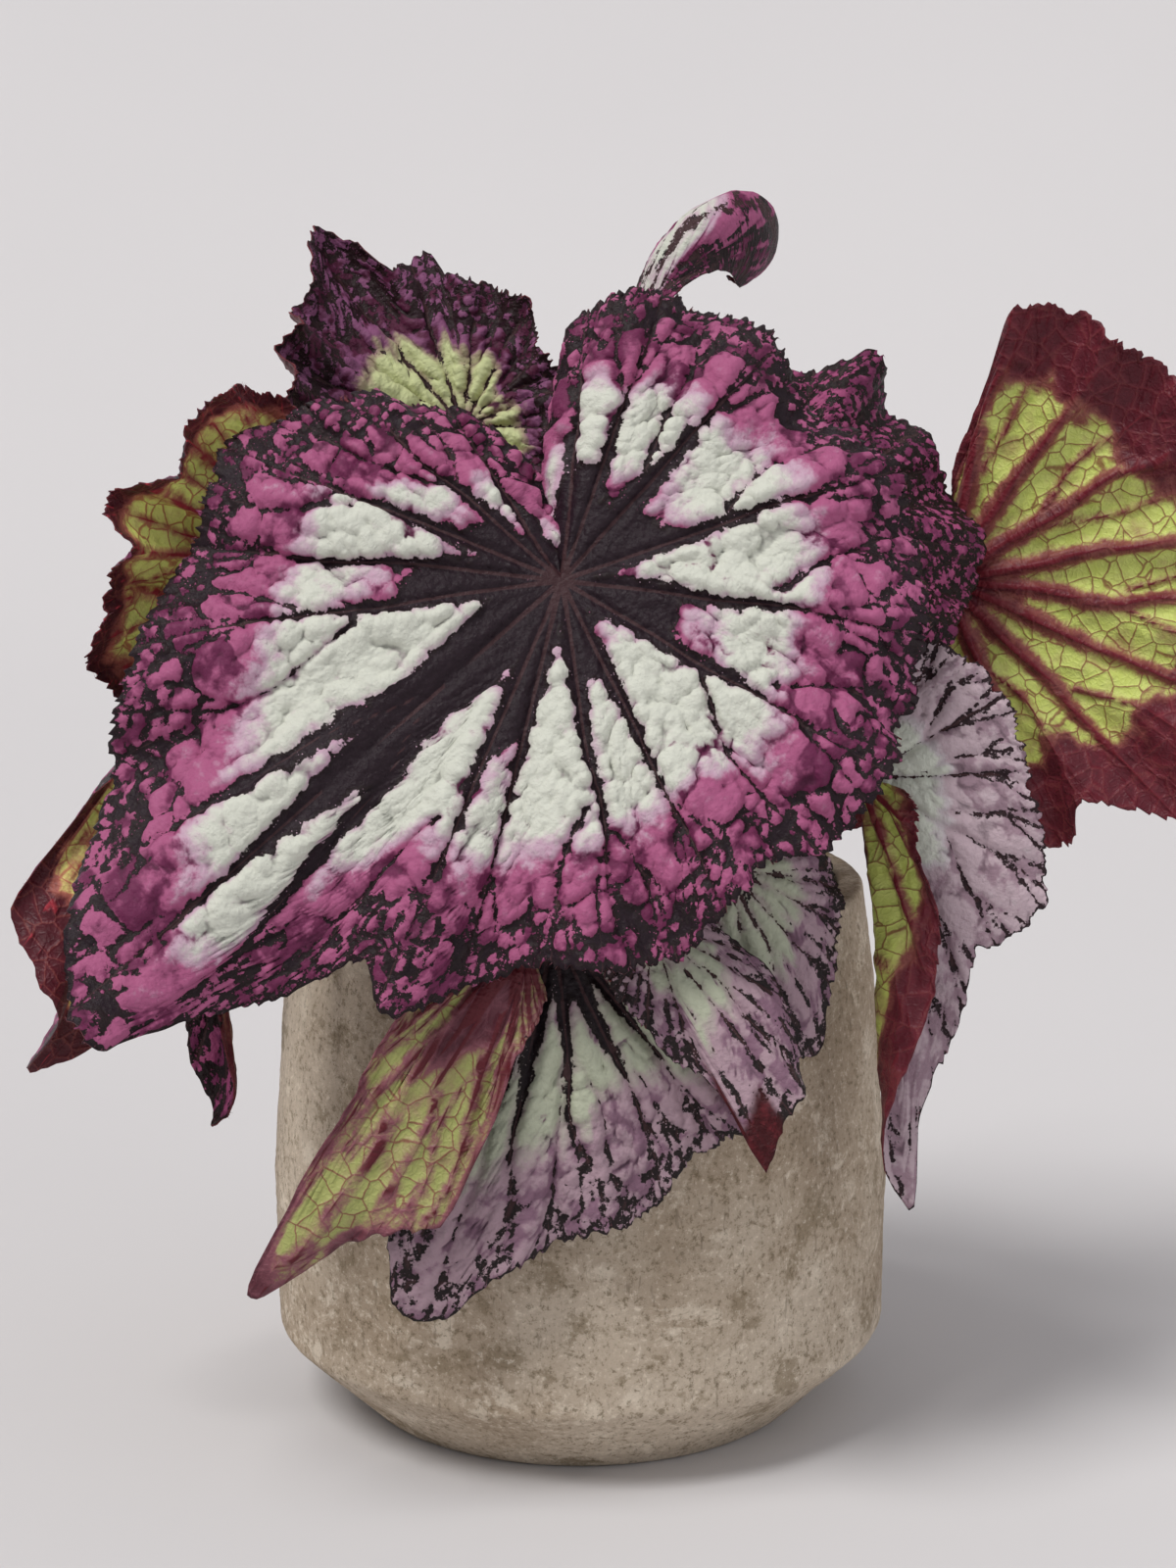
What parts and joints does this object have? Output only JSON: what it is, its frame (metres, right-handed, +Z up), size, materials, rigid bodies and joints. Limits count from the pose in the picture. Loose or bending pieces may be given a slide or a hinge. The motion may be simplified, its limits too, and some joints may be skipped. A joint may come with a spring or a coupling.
{
  "type": "potted rex begonia",
  "caption": "Potted begonia with large waved, painted leaves on red stalks, in a nursery pot of soil inside a stone cachepot with a chamfered foot.",
  "frame": {"origin": "centre of the cachepot's flat foot, on the surface it stands on", "axes": "+Z up along the pot's axis; -Y towards the viewer, the side that the largest leaf faces; +X to the viewer's right"},
  "size_m": [0.319, 0.206, 0.3032],
  "materials": {
    "stone": "matte",
    "nursery_plastic": "satin",
    "soil": "matte",
    "stalk": "satin",
    "leaf_plum": "satin",
    "leaf_red": "satin",
    "leaf_silver": "satin"
  },
  "bodies": {
    "root": {"pot": "stone", "nursery_pot": "nursery_plastic", "soil": "soil", "stems": "stalk", "leaf_front": "leaf_plum", "leaf_cup": "leaf_plum", "leaf_left": "leaf_red", "leaf_roll": "leaf_plum", "leaf_hook": "leaf_plum", "leaf_back_right": "leaf_plum", "leaf_far_right": "leaf_red", "leaf_fold": "leaf_silver", "leaf_low": "leaf_silver", "leaf_low_left": "leaf_red", "leaf_curl": "leaf_plum", "leaf_low_right": "leaf_silver", "leaf_rear_left": "leaf_plum", "leaf_rear_right": "leaf_plum"}
  },
  "joints": []
}
